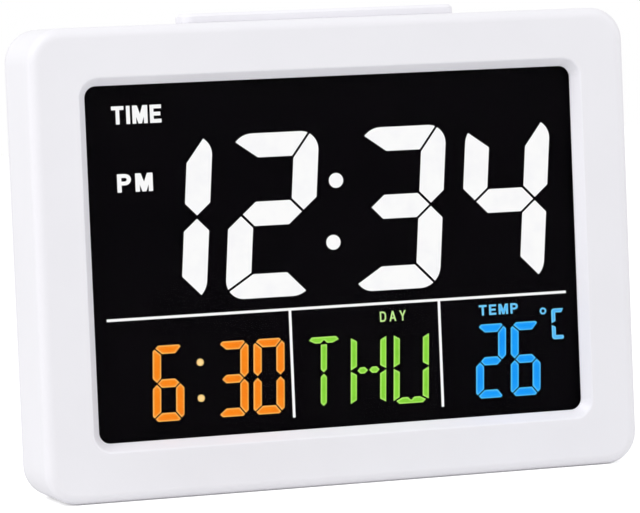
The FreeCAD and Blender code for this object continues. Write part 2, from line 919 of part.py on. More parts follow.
def finger_scoop():
    """Round trough that cuts the finger notch across the door's head and the cover."""
    start = Vector(-notch_length / 2, back_y + notch_radius - notch_depth, door_top)
    return Part.makeCylinder(notch_radius, notch_length, start, Vector(1, 0, 0))


def latch_room():
    """Pocket above the bay for the door's latch."""
    width = latch_width + 2 * latch_side_gap
    front = door_back_y - latch_drop - latch_end_gap
    high = door_top + door_clearance
    return sheet(width, front, door_back_y + door_seat_gap, bay_top - latch_reach, high)


def latch_housing():
    """Walls round the latch pocket, inside the cover."""
    width = latch_width + 2 * latch_side_gap + 2 * bay_wall
    front = door_back_y - latch_drop - latch_end_gap - bay_wall
    high = door_top + door_clearance + bay_wall
    return sheet(width, front, inner_back_y + bond, bay_top, high)


def inlet_cuts():
    """Opening and shallow recess for the power plug."""
    wide = socket_width + 2 * inlet_clearance
    tall = socket_height + 2 * inlet_clearance
    opening = plate(wide, tall, inlet_corner, inner_back_y - past, back_y + past, inlet_x, inlet_z)
    recess_sizes = (inlet_recess_width, inlet_recess_height, inlet_recess_corner)
    recess = plate(*recess_sizes, socket_y, back_y + past, inlet_x, inlet_z)
    return [opening, recess]


def inlet_rails():
    """Two grooved rails that hold the inlet board from its sides."""
    front = inner_back_y - inlet_board_length
    rails = []
    for side in (-1, 1):
        edge = inlet_x + side * inlet_board_width / 2
        inner = edge - side * rail_inside
        outer = edge + side * rail_outside
        low = inlet_board_low - rail_outside
        high = inlet_board_high + rail_outside
        rails.append(block(min(inner, outer), max(inner, outer), front, inner_back_y + bond, low, high))
    return rails


def inlet_groove():
    """Groove of the rails, a little larger than the inlet board."""
    half = inlet_board_width / 2 + rail_clearance
    front = inner_back_y - inlet_board_length - past
    low = inlet_board_low - rail_clearance
    high = inlet_board_high + rail_clearance
    return block(inlet_x - half, inlet_x + half, front, inner_back_y, low, high)


def sound_slots():
    """Slots of the sounder's grille, each as long as a round outline lets it be."""
    slots = []
    for index in range(sound_slot_count):
        offset = (index - (sound_slot_count - 1) / 2) * sound_slot_pitch
        length = 2 * math.sqrt(sound_round**2 - offset**2)
        z = side_row_z + offset
        slots.append(slab(length, sound_slot_height, inner_back_y - past, back_y + past, buzzer_x, z))
    return slots


def vent_slots():
    """Vents behind the temperature sensor."""
    slots = []
    for index in range(vent_count):
        z = side_row_z + (index - (vent_count - 1) / 2) * vent_pitch
        slots.append(slab(vent_length, vent_height, inner_back_y - past, back_y + past, vent_x, z))
    return slots


def panel_cuts():
    """Recess of the control panel and the openings for the buttons and the slide knob."""
    cuts = [plate(panel_width, panel_height, panel_corner, panel_floor_y, back_y + past, 0, panel_z)]
    wide = button_width + 2 * button_clearance
    tall = button_height + 2 * button_clearance
    corner = button_corner + button_clearance
    for name, x in button_places():
        cuts.append(plate(wide, tall, corner, panel_inner_y - past, back_y, x, panel_z))
    slot_width = slider_width + slider_travel + 2 * button_clearance
    slot_height = slider_height + 2 * button_clearance
    middle = slider_x + slider_travel / 2
    cuts.append(slab(slot_width, slot_height, panel_inner_y - past, back_y, middle, panel_z))
    return cuts


def panel_pad():
    """Thicker wall behind the control panel."""
    wide = panel_width + 2 * panel_pad_margin
    tall = panel_height + 2 * panel_pad_margin
    return slab(wide, tall, panel_inner_y, inner_back_y + bond, 0, panel_z)


def screw_sinks():
    """Tubes that sink the case screws into the cover, trimmed to the cover's outer form."""
    outer = case_outside()
    tubes = []
    for side in (-1, 1):
        for z in case_screw_levels:
            tube = facet_rod(sink_radius + sink_wall, sink_end_y, back_y, side * case_screw_x, z)
            tubes.append(tube.common(outer))
    return tubes


def sink_cuts():
    """Counterbores and clearance holes of the screw sinks."""
    cuts = []
    for side in (-1, 1):
        for z in case_screw_levels:
            x = side * case_screw_x
            cuts.append(rod(sink_radius, sink_floor_y, back_y + past, x, z))
            cuts.append(facet_rod(case_shank_radius + screw_hole_clearance, sink_end_y - past, back_y, x, z))
    return cuts


def buzzer_seat():
    """Ring on the inside of the cover that holds the sounder, and the room in it."""
    front = inner_back_y - buzzer_ring_height
    radius = buzzer_radius + buzzer_clearance
    ring = facet_rod(radius + buzzer_ring, front, inner_back_y + bond, buzzer_x, side_row_z)
    room = facet_rod(radius, front - past, inner_back_y, buzzer_x, side_row_z)
    return ring, room


def make_rear_cover():
    """Shallow rear shell with its inner lip, control panel, battery bay, vents and screw sinks."""
    shell = case_outside().cut(ahead_of_parting())
    lip_inset = wall + lip_clearance
    lip = case_prism(lip_inset, parting_y - lip_depth, parting_y + bond)
    room = case_prism(lip_inset + lip_thickness, parting_y - lip_depth - past, inner_back_y)
    room = room.makeChamfer(cover_room_chamfer, edges_at_y(room, inner_back_y))
    shell = shell.fuse(lip).cut(room)
    ring, ring_room = buzzer_seat()
    additions = [bay_tub(), latch_housing(), panel_pad(), ring] + inlet_rails() + screw_sinks()
    shell = fused([shell] + additions)
    cuts = [bay_room(), door_rebate(), latch_room(), finger_scoop(), inlet_groove(), ring_room]
    cuts += tab_slots() + inlet_cuts() + sound_slots() + vent_slots() + panel_cuts() + sink_cuts()
    for cut in cuts:
        shell = shell.cut(cut)
    save("rear_cover", fused([shell] + cell_ribs()))


def make_battery_door():
    """Door plate with two tabs at its foot, a springy latch at its head and a few grip grooves."""
    pieces = [plate(door_width, door_height, door_corner, door_back_y, back_y, 0, bay_centre_z)]
    root_y = door_back_y - tab_thickness
    for side in (-1, 1):
        low = side * tab_x - tab_width / 2
        high = side * tab_x + tab_width / 2
        pieces.append(block(low, high, root_y, door_back_y + bond, door_bottom, door_bottom + tab_root))
        foot = door_bottom - tab_length
        pieces.append(block(low, high, root_y, door_back_y - tab_drop, foot, door_bottom + bond))
    outer = door_top - latch_gap
    inner = outer - latch_thickness
    pieces.append(sheet(latch_width, door_back_y - latch_drop, door_back_y + bond, inner, outer))
    door = fused(pieces).cut(finger_scoop())
    for index in range(grip_count):
        z = door_top - grip_below_top - index * grip_pitch
        door = door.cut(slab(grip_length, grip_width, back_y - grip_depth, back_y + past, 0, z))
    save("battery_door", door)


def cell_places():
    """Height of each cell and the side, 1 or -1, that its raised contact is on."""
    places = []
    for index in range(cell_count):
        z = bay_centre_z + (index - (cell_count - 1) / 2) * cell_pitch
        places.append((z, 1 if index % 2 == 0 else -1))
    return places


def make_cells():
    """Plain round cells, turned end for end in turn."""
    for index, (z, side) in enumerate(cell_places()):
        tip = side * (bay_length / 2 - contact_thickness)
        shoulder = tip - side * cell_nub_length
        direction = Vector(-side, 0, 0)
        can = Part.makeCylinder(cell_radius, cell_length, Vector(shoulder, cell_y, z), direction)
        nub = facet_rod(cell_nub_radius, 0, cell_nub_length, 0, 0)
        nub.rotate(Vector(0, 0, 0), Vector(0, 0, 1), side * 90)
        nub.translate(Vector(tip, cell_y, z))
        save("cell_" + str(index + 1), can.fuse(nub))


def make_contacts():
    """Flat contact plates at both ends of each cell, and coil springs at the flat ends."""
    plates = []
    springs = []
    half = contact_size / 2
    for z, side in cell_places():
        for end in (-1, 1):
            outer = end * bay_length / 2
            inner = outer - end * contact_thickness
            low = min(outer, inner)
            plates.append(
                block(low, low + contact_thickness, cell_y - half, cell_y + half, z - half, z + half)
            )
        springs.append(coil_spring(-side, z))
    save("battery_contacts", Part.makeCompound(plates))
    save("battery_springs", Part.makeCompound(springs))


def coil_spring(end, z):
    """Tapered coil from the contact plate at one end of the bay to the flat end of its cell."""
    plate_x = end * (bay_length / 2 - contact_thickness)
    half = spring_wire / 2
    count = spring_turns * spring_steps
    sections = []
    for step in range(count + 1):
        share = step / count
        angle = 2 * math.pi * spring_turns * share
        radius = spring_base_radius + (spring_tip_radius - spring_base_radius) * share
        along = half + (spring_length - spring_wire) * share
        corners = []
        for out, over in ((half, half), (-half, half), (-half, -half), (half, -half)):
            y = cell_y + (radius + out) * math.cos(angle)
            level = z + (radius + out) * math.sin(angle)
            corners.append(Vector(plate_x - end * (along + over), y, level))
        sections.append(Part.makePolygon(corners + corners[:1]))
    return Part.makeLoft(sections, True, True)


def make_buzzer():
    """Sounder that sits in its ring behind the sound slots."""
    back = inner_back_y - buzzer_end_gap
    save("buzzer", facet_rod(buzzer_radius, back - buzzer_height, back, buzzer_x, side_row_z))


def socket_outline(inset, y):
    """Outline of the power socket's shell, with its two lower corners cut off, drawn in by an inset."""
    half = socket_width / 2 - inset
    low = inlet_z - socket_height / 2 + inset
    high = inlet_z + socket_height / 2 - inset
    foot = half - socket_chamfer
    places = ((-half, high), (half, high), (half, low + socket_chamfer), (foot, low))
    places += ((-foot, low), (-half, low + socket_chamfer))
    corners = [Vector(inlet_x + x, y, z) for x, z in places]
    return Part.Face(Part.makePolygon(corners + corners[:1]))


def make_power_inlet():
    """Small power socket on its own board: a folded metal shell round a contact tongue."""
    y_low = socket_y - socket_length
    shell = socket_outline(0, y_low).extrude(Vector(0, socket_length, 0))
    room = socket_outline(socket_wall, y_low + socket_back).extrude(Vector(0, socket_length, 0))
    tongue_end = socket_y - tongue_inset
    tongue = slab(tongue_width, tongue_thickness, y_low + socket_wall, tongue_end, inlet_x, inlet_z)
    save("power_socket", shell.cut(room).fuse(tongue))
    left = inlet_x - inlet_board_width / 2
    right = inlet_x + inlet_board_width / 2
    back = inner_back_y - rail_clearance
    front = back - inlet_board_length
    save("inlet_board", block(left, right, front, back, inlet_board_low, inlet_board_high))


def screen_point(x, y):
    """Point on the face of the display from its place in the layout."""
    return Vector(window_left + x * stretch_x, segment_y, window_top - y * stretch_z)


def prism(points, below=0.0, above=0.0):
    """Solid of one segment from the corners of its outline, run past its faces where it is a cutter."""
    outline = Part.Face(Part.makePolygon(points + points[:1]))
    outline.translate(Vector(0, -below, 0))
    return outline.extrude(Vector(0, segment_thickness + below + above, 0))


def digit_style():
    """Sizes of the large digits."""
    return {
        "width": digit_width,
        "height": digit_height,
        "bar": digit_bar,
        "beam": digit_beam,
        "middle": digit_middle,
        "corner": digit_corner,
        "gap": digit_gap,
        "lean": digit_lean,
        "left_cut": digit_left_cut,
        "top_cut": digit_top_cut,
        "foot_cut": digit_foot_cut,
        "round": True,
    }


def small_style():
    """Sizes of the small digits."""
    return {
        "width": small_width,
        "height": small_height,
        "bar": small_stroke,
        "beam": small_stroke,
        "middle": small_height / 2,
        "corner": small_corner,
        "gap": small_gap,
        "lean": small_lean,
        "left_cut": small_cut,
        "top_cut": small_cut,
        "foot_cut": small_cut,
        "round": False,
    }


def leaning(height, lean, left, top, x, z):
    """Screen point for a place in a digit: x from its left edge and z above its foot."""
    return screen_point(left + x + (z - height / 2) * lean, top + height - z)


def segment_outlines(style):
    """Corners of the seven segments, which meet along mitres that the gaps are cut along later."""
    w = style["width"]
    h = style["height"]
    t = style["bar"]
    v = style["beam"]
    m = style["middle"]
    p = t / 2
    s = v / 2
    left_cut = style["left_cut"]
    top_in = w - style["top_cut"]
    foot_in = w - style["foot_cut"]
    return {
        "a": ((0, h - left_cut), (0, h), (top_in, h), (w - t, h - v), (t, h - v)),
        "b": ((top_in, h), (w, h), (w, m + s), (w - p, m), (w - t, m + s), (w - t, h - v)),
        "c": ((foot_in, 0), (w, 0), (w, m - s), (w - p, m), (w - t, m - s), (w - t, v)),
        "d": ((0, left_cut), (0, 0), (foot_in, 0), (w - t, v), (t, v)),
        "e": ((0, left_cut), (0, m - s), (p, m), (t, m - s), (t, v)),
        "f": ((0, h - left_cut), (0, m + s), (p, m), (t, m + s), (t, h - v)),
        "g": ((p, m), (t, m + s), (w - t, m + s), (w - p, m), (w - t, m - s), (t, m - s)),
    }


def mitre_lines(style):
    """Both ends of each line that a gap follows."""
    w = style["width"]
    h = style["height"]
    t = style["bar"]
    v = style["beam"]
    m = style["middle"]
    s = v / 2
    return (
        ((t, h - v), (0, h - style["left_cut"])),
        ((t, v), (0, style["left_cut"])),
        ((w - t, h - v), (w - style["top_cut"], h)),
        ((w - t, v), (w - style["foot_cut"], 0)),
        ((0, m + s), (t, m - s)),
        ((0, m - s), (t, m + s)),
        ((w - t, m + s), (w, m - s)),
        ((w - t, m - s), (w, m + s)),
    )


def gap_strip(style, left, top, start, stop):
    """Narrow strip along a mitre, run a little past both its ends."""
    run_x = stop[0] - start[0]
    run_z = stop[1] - start[1]
    length = math.hypot(run_x, run_z)
    over_x = run_x / length * style["gap"]
    over_z = run_z / length * style["gap"]
    corners = []
    for end, along, aside in ((start, -1, -1), (start, -1, 1), (stop, 1, 1), (stop, 1, -1)):
        x = end[0] + along * over_x - aside * over_z / 2
        z = end[1] + along * over_z + aside * over_x / 2
        corners.append(leaning(style["height"], style["lean"], left, top, x, z))
    return prism(corners, segment_thickness, segment_thickness)


def digit_outline(style, left, top):
    """Outer limit of a digit, its four corners rounded or cut straight, thick enough to trim the segments."""
    w = style["width"]
    h = style["height"]
    r = style["corner"]
    bend = r * (1 - math.sqrt(0.5))
    corners = (
        ((w, h - r), (w - bend, h - bend), (w - r, h)),
        ((r, h), (bend, h - bend), (0, h - r)),
        ((0, r), (bend, bend), (r, 0)),
        ((w - r, 0), (w - bend, bend), (w, r)),
    )
    edges = []
    for index, places in enumerate(corners):
        points = places + corners[(index + 1) % len(corners)][:1]
        start, middle, stop, after = [leaning(h, style["lean"], left, top, x, z) for x, z in points]
        bend_edge = Part.Arc(start, middle, stop) if style["round"] else Part.LineSegment(start, stop)
        edges.append(bend_edge.toShape())
        edges.append(Part.LineSegment(stop, after).toShape())
    face = Part.Face(Part.Wire(edges))
    face.translate(Vector(0, -segment_thickness, 0))
    return face.extrude(Vector(0, 3 * segment_thickness, 0))


def digit(style, symbol, left, top):
    """Solids of the lit segments of one digit."""
    outlines = segment_outlines(style)
    limit = digit_outline(style, left, top)
    strips = [gap_strip(style, left, top, start, stop) for start, stop in mitre_lines(style)]
    solids = []
    for name in lit_segments[symbol]:
        corners = outlines[name]
        solid = prism([leaning(style["height"], style["lean"], left, top, x, z) for x, z in corners])
        solid = solid.common(limit)
        for strip in strips:
            solid = solid.cut(strip)
        solids.append(max(solid.Solids, key=lambda part: part.Volume))
    return solids


def dot(x, y, radius):
    """Dot of a colon."""
    points = []
    for index in range(dot_sides):
        angle = 2 * math.pi * index / dot_sides
        points.append(screen_point(x + radius * math.cos(angle), y + radius * math.sin(angle)))
    return prism(points)


def digits(style, symbols, lefts, top):
    """Solids of one field of digits."""
    solids = []
    for symbol, left in zip(symbols, lefts):
        solids += digit(style, symbol, left, top)
    return solids


def make_digits():
    """The three fields of digits, with the dots of their colons."""
    time = digits(digit_style(), time_digits, digit_lefts, digit_top)
    time += [dot(x, y, time_dot_radius) for x, y in time_dots]
    save("time_segments", Part.makeCompound(time))
    alarm = digits(small_style(), alarm_digits, alarm_lefts, small_top)
    alarm += [dot(x, y, alarm_dot_radius) for x, y in alarm_dots]
    save("alarm_segments", Part.makeCompound(alarm))
    temperature = digits(small_style(), temperature_digits, temperature_lefts, small_top)
    save("temperature_segments", Part.makeCompound(temperature))


def letter_strokes():
    """Corners of the strokes of the weekday letters, with pointed ends where strokes meet."""
    w = letter_width
    h = letter_height
    t = letter_stroke
    g = letter_gap / 2
    c = letter_cut
    k = letter_bar_cut
    n = letter_notch
    m = h / 2
    p = w / 2
    u = t / 2
    upper = ((0, h - c), (t, h - c - n), (t, m + g + n), (0, m + g))
    lower = ((0, c), (t, c + n), (t, m - g - n), (0, m - g))
    short = ((t + g, m), (t + g + u, m + u), (p - g - u, m + u))
    short += ((p - g, m), (p - g - u, m - u), (t + g + u, m - u))
    foot = ((k, u), (k + u, 0), (w - k - u, 0), (w - k, u), (w - t - u, t))
    foot += ((p + n, t), (p, u), (p - n, t), (t + u, t))
    stem_top = h - t - letter_gap
    stem = ((p - u, stem_top), (p + u, stem_top), (p + u, m + g + u), (p, m + g), (p - u, m + g + u))
    stem_foot = ((p - u, m - g - u), (p, m - g), (p + u, m - g - u), (p + u, c + u), (p, c), (p - u, c + u))
    return {
        "a": [(x, h - z) for x, z in foot],
        "d": foot,
        "f": upper,
        "e": lower,
        "b": [(w - x, z) for x, z in upper],
        "c": [(w - x, z) for x, z in lower],
        "g": short,
        "j": [(w - x, z) for x, z in short],
        "i": stem,
        "l": stem_foot,
    }


def make_day_segments():
    """Weekday letters in the lower middle field."""
    strokes = letter_strokes()
    solids = []
    for symbol, left in zip(day_letters, letter_lefts):
        for name in lit_strokes[symbol]:
            corners = [leaning(letter_height, letter_lean, left, letter_top, x, z) for x, z in strokes[name]]
            solids.append(prism(corners))
    save("day_segments", Part.makeCompound(solids))


def make_divider_lines():
    """Lines that part the time from the three fields below it."""
    half = line_thickness / 2
    corners = [(line_ends[0], line_level - half), (line_ends[1], line_level - half)]
    corners += [(line_ends[1], line_level + half), (line_ends[0], line_level + half)]
    pieces = [prism([screen_point(x, y) for x, y in corners])]
    for middle in divider_x:
        corners = [(middle - half, line_level), (middle + half, line_level)]
        corners += [(middle + half, divider_bottom), (middle - half, divider_bottom)]
        pieces.append(prism([screen_point(x, y) for x, y in corners]))
    save("divider_lines", fused(pieces))


def main():
    os.makedirs("parts", exist_ok=True)
    make_front_case()
    make_rear_cover()
    make_pane()
    make_glasses()
    make_backlight()
    make_tray()
    make_zebra_strip()
    make_main_board()
    make_board_parts()
    make_snooze_bar()
    make_snooze_switches()
    make_buttons()
    make_tact_switches()
    make_alarm_slider()
    make_alarm_switch()
    make_screws()
    make_battery_door()
    make_cells()
    make_contacts()
    make_buzzer()
    make_power_inlet()
    make_digits()
    make_day_segments()
    make_divider_lines()


main()
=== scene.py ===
import math

import bpy
from mathutils import Matrix, Vector


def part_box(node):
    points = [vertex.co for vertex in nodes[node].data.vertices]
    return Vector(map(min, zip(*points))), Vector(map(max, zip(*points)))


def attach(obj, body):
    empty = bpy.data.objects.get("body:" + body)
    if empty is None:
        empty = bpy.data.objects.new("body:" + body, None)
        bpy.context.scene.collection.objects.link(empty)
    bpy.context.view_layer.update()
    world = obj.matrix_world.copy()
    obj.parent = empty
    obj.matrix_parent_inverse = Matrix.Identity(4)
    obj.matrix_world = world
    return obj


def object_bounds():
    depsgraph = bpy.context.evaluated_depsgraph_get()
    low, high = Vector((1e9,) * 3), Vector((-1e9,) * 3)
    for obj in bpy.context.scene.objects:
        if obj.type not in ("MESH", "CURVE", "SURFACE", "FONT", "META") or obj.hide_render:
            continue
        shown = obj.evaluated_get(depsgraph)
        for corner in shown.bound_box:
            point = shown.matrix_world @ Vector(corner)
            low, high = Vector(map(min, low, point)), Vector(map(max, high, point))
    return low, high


# Looks for the desk day clock. All sizes are in metres unless a name or comment says otherwise.

MM = 0.001

# The photograph's frame and the view it was taken from, with angles in degrees
IMAGE_WIDTH_PX = 640
FOCAL_PX = 3804.0
SENSOR_WIDTH_MM = 36.0
VIEW_YAW = 18.0
VIEW_PITCH = 3.18
VIEW_ROLL = -2.35
VIEW_DISTANCE = 0.881
VIEW_HEIGHT = 0.055
VIEW_SHIFT_RIGHT = 0.00511
VIEW_SHIFT_UP = 0.00157
CLIP_START = 0.01

# How far the window pane reaches behind the bezel on each side
PANE_OVERLAP = 2.2 * MM

# Captions on the display: their words, the corners of the box each fills, and the width of
# the strokes and the space between letters as parts of the height.
# Places on the display are in millimetres to the right of and below the window's upper left corner.
CAPTIONS = {
    "caption_time": ("TIME", (6.6, 4.8), (18.4, 8.95), 0.21, 0.15),
    "caption_afternoon": ("PM", (7.3, 20.3), (15.7, 24.5), 0.21, 0.22),
    "caption_day": ("DAY", (69.3, 55.5), (75.7, 57.9), 0.15, 0.4),
    "caption_temperature": ("TEMP", (94.0, 55.5), (103.8, 57.95), 0.19, 0.24),
}
CAPTION_LIGHTS = {
    "caption_time": "lit_white",
    "caption_afternoon": "lit_white",
    "caption_day": "lit_pale_green",
    "caption_temperature": "lit_pale_blue",
}
ARC_STEPS = 4

# The degree ring and the C after the temperature, in millimetres on the display
RING_CENTRE = (110.15, 57.8)
RING_RADII = (0.42, 0.82)
RING_SIDES = 32
UNIT_CORNER = (112.25, 57.4)
UNIT_WIDTH = 3.0
UNIT_HEIGHT = 7.3
UNIT_STROKE = 0.95

# Dots of the alarm's colon and how far their faces lie from the middle, in millimetres on the display
ALARM_DOTS = ((25.16, 64.5), (25.05, 72.8))
ALARM_DOT_REACH = 1.3

# Width and depth of the slope that the bevel has round the window, whose faces get painted light (a paler
# colour on the shaded recess), and how squarely a face looks to the front when it isn't part of the slope
SLOPE_WIDTH = 2.0 * MM
SLOPE_DEPTH = 2.85 * MM
SQUARE_TO_FRONT = 0.99

# Constants of the sRGB curve
SRGB_TOE_END = 0.04045
SRGB_TOE_SLOPE = 12.92
SRGB_OFFSET = 0.055
SRGB_POWER = 2.4

# Noise, whose scales are all in cycles per metre
NOISE_ROUGHNESS = 0.55

# Moulded plastic: scales of its colour's drift and of its roughness, which wanders by a part either way
DRIFT_SCALE = 35.0
WANDER_SCALE = 160.0
PLASTIC_WANDER = 0.12
PLASTIC_SPECULAR = 0.4

# How far the edges of the outer plastic look broken
BROKEN_EDGE = 0.35 * MM
BROKEN_EDGE_SAMPLES = 4

# Metal: scales of its tone and grain, the share of its colour that the dark side keeps, and how far
# its roughness wanders either way
METAL_TONE_SCALE = 400.0
METAL_GRAIN_SCALE = 900.0
METAL_DARKER = 0.8
METAL_WANDER = 0.2

# Lit segments: their light, a little over 1 to make up for the pane in front of them, its
# unevenness, and the painted lighter rim, full where the rounded and the flat normal match by RIM_FULL
SEGMENT_GLOW = 1.06
SEGMENT_ROUGHNESS = 0.35
SEGMENT_SPECULAR = 0.02
PATCH_SCALE = 260.0
PATCH_START = 0.25
PATCH_STOP = 0.6
RIM_REACH = 0.55 * MM
RIM_SAMPLES = 8
RIM_FULL = 0.985

# Black face of the display
BLACK_SCALE = 90.0
BLACK_SPECULAR = 0.012
BLACK_ROUGHNESS = (0.22, 0.30)
BLACK_ROUGHNESS_SCALE = 300.0

# Clear window pane
PANE_ROUGHNESS = (0.04, 0.08)
PANE_ROUGHNESS_SCALE = 500.0
PANE_SPECULAR = 0.25
PANE_ALPHA = 0.05

# Plastics, outside and inside: the colour, the deeper colour it drifts to, the roughness,
# the cycles per metre and the depth of the grain, and the nodes made of it
OUTER_PLASTICS = {
    "case_white": ((238, 237, 242), (235, 234, 239), 0.42, 9000.0, 0.004 * MM, ["front_case"]),
    "cover_white": ((236, 235, 240), (232, 231, 236), 0.55, 5200.0, 0.01 * MM,
                    ["rear_cover", "battery_door"]),
    "bar_white": ((243, 242, 247), (240, 239, 244), 0.4, 9000.0, 0.004 * MM, ["snooze_bar"]),
    "key_grey": ((214, 214, 220), (207, 207, 213), 0.38, 9000.0, 0.004 * MM,
                 ["set_button", "alarm_button", "up_button", "down_button", "light_button", "alarm_slider"]),
}
INNER_PLASTICS = {
    "inner_white": ((228, 228, 226), (220, 220, 218), 0.6, 4000.0, 0.01 * MM,
                    ["display_tray", "reflector_sheet", "light_guide", "colour_film"]),
    "inner_black": ((30, 30, 32), (24, 24, 26), 0.5, 4000.0, 0.01 * MM,
                    ["buzzer", "chip_blob", "temperature_sensor", "tact_switches", "snooze_switches",
                     "alarm_switch_lever"]),
    "contact_rubber": ((92, 92, 96), (70, 70, 74), 0.8, 3000.0, 0.01 * MM, ["zebra_strip"]),
    "board_green": ((34, 110, 62), (26, 92, 50), 0.35, 2500.0, 0.01 * MM,
                    ["main_board", "inlet_board", "led_strip"]),
    "lamp_yellow": ((240, 220, 120), (228, 204, 96), 0.5, 3000.0, 0.01 * MM, ["backlight_leds"]),
    "cell_sleeve": ((58, 60, 66), (48, 50, 55), 0.35, 3000.0, 0.006 * MM, ["cell_1", "cell_2", "cell_3"]),
}

# The slope round the window: smoother, and painted paler than the case as painted light; in the same order
SLOPE_PLASTIC_PAINTED_PALER = ((243, 242, 248), (240, 239, 245), 0.3, 9000.0, 0.002 * MM)

# Metals: the colour, the roughness and the nodes
METALS = {
    "plated_steel": ((190, 190, 192), 0.32,
                     ["case_screws", "display_screws", "power_socket", "clock_crystal", "alarm_switch"]),
    "nickel": ((205, 200, 188), 0.25, ["battery_contacts", "battery_springs"]),
}

# Lit segments: the colour, the colour of its duller patches, its painted lighter rim, and the nodes
LIGHTS = {
    "lit_white": ((255, 255, 255), (250, 250, 252), (255, 255, 255), ["time_segments", "divider_lines"]),
    "lit_orange": ((255, 140, 20), (250, 128, 14), (255, 196, 104), ["alarm_segments"]),
    "lit_green": ((140, 220, 60), (126, 206, 50), (190, 246, 120), ["day_segments"]),
    "lit_blue": ((20, 160, 255), (14, 148, 248), (96, 206, 255), ["temperature_segments"]),
    "lit_cream": ((255, 224, 160), (250, 214, 146), (255, 206, 120), []),
    "lit_pale_green": ((196, 236, 140), (176, 222, 120), (206, 244, 160), []),
    "lit_pale_blue": ((70, 184, 250), (50, 166, 240), (130, 216, 255), []),
}

# The studio: the world's light and the backdrop that the camera sees, the floor's reach each way, its
# shade and its glow, and for each lamp its place, side and power in watts
WORLD_STRENGTH = 0.62
BACKDROP_STRENGTH = 1.0
FLOOR_REACH = 3.0
FLOOR_SHADE = 0.9
FLOOR_GLOW = 0.5
LAMP_AIM = (0, 0, 0.05)
LAMPS = {
    "key": ((-1.2, -0.55, 1.3), 1.2, 17.5),
    "fill": ((1.3, -0.7, 0.5), 1.0, 5.0),
}

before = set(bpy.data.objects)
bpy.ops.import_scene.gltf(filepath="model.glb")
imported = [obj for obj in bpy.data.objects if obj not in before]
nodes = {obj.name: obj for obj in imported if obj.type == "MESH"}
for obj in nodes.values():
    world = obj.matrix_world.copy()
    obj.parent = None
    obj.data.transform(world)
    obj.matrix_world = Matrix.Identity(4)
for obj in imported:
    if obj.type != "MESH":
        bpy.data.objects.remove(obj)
cad_low, cad_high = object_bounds()


def srgb(red, green, blue):
    """Scene-linear colour, with alpha, from display values of 0 to 255."""
    linear = []
    for value in (red, green, blue):
        part = value / 255
        if part <= SRGB_TOE_END:
            linear.append(part / SRGB_TOE_SLOPE)
        else:
            linear.append(((part + SRGB_OFFSET) / (1 + SRGB_OFFSET)) ** SRGB_POWER)
    return (*linear, 1.0)


def new_material(name):
    """Empty node material with a Principled shader; returns material, tree and shader."""
    material = bpy.data.materials.new(name)
    material.use_nodes = True
    tree = material.node_tree
    tree.nodes.clear()
    output = tree.nodes.new("ShaderNodeOutputMaterial")
    shader = tree.nodes.new("ShaderNodeBsdfPrincipled")
    tree.links.new(shader.outputs["BSDF"], output.inputs["Surface"])
    return material, tree, shader


def noise(tree, scale, detail=3.0):
    """Noise in the object's own coordinates, so that it moves with the object."""
    place = tree.nodes.new("ShaderNodeTexCoord").outputs["Object"]
    node = tree.nodes.new("ShaderNodeTexNoise")
    node.inputs["Scale"].default_value = scale
    node.inputs["Detail"].default_value = detail
    node.inputs["Roughness"].default_value = NOISE_ROUGHNESS
    tree.links.new(place, node.inputs["Vector"])
    return node.outputs["Fac"]


def colour_ramp(tree, factor, low, high, start=0.3, stop=0.7):
    """Colour that goes from low to high as the factor does."""
    ramp = tree.nodes.new("ShaderNodeValToRGB")
    ramp.color_ramp.elements[0].position = start
    ramp.color_ramp.elements[0].color = low
    ramp.color_ramp.elements[1].position = stop
    ramp.color_ramp.elements[1].color = high
    tree.links.new(factor, ramp.inputs["Fac"])
    return ramp.outputs["Color"]


def value_range(tree, factor, low, high):
    """Number that goes from low to high as the factor does."""
    node = tree.nodes.new("ShaderNodeMapRange")
    node.inputs["To Min"].default_value = low
    node.inputs["To Max"].default_value = high
    tree.links.new(factor, node.inputs["Value"])
    return node.outputs["Result"]


def wandering_roughness(tree, shader, factor, roughness, wander):
    """Roughness that wanders by the given part either way as the factor does."""
    low = roughness * (1 - wander)
    high = roughness * (1 + wander)
    tree.links.new(value_range(tree, factor, low, high), shader.inputs["Roughness"])


def bump(tree, shader, height, distance):
    """Bump of the given depth on the shader's normal."""
    node = tree.nodes.new("ShaderNodeBump")
    node.inputs["Distance"].default_value = distance
    tree.links.new(height, node.inputs["Height"])
    tree.links.new(node.outputs["Normal"], shader.inputs["Normal"])
    return node


def moulded_plastic(name, colour, deeper, roughness, grain_scale, grain_depth):
    """Moulded plastic with a slow drift of colour and a fine grain; returns material and bump node."""
    material, tree, shader = new_material(name)
    drift = noise(tree, DRIFT_SCALE, detail=2.0)
    tree.links.new(colour_ramp(tree, drift, srgb(*deeper), srgb(*colour)), shader.inputs["Base Color"])
    wandering_roughness(tree, shader, noise(tree, WANDER_SCALE, detail=4.0), roughness, PLASTIC_WANDER)
    grain = bump(tree, shader, noise(tree, grain_scale, detail=2.0), grain_depth)
    shader.inputs["Specular IOR Level"].default_value = PLASTIC_SPECULAR
    return material, grain


def shell_plastic(name, *finish):
    """Moulded plastic of the outside, whose sharp edges catch the light as broken edges do."""
    material, grain = moulded_plastic(name, *finish)
    tree = material.node_tree
    worn = tree.nodes.new("ShaderNodeBevel")
    worn.samples = BROKEN_EDGE_SAMPLES
    worn.inputs["Radius"].default_value = BROKEN_EDGE
    tree.links.new(worn.outputs["Normal"], grain.inputs["Normal"])
    return material


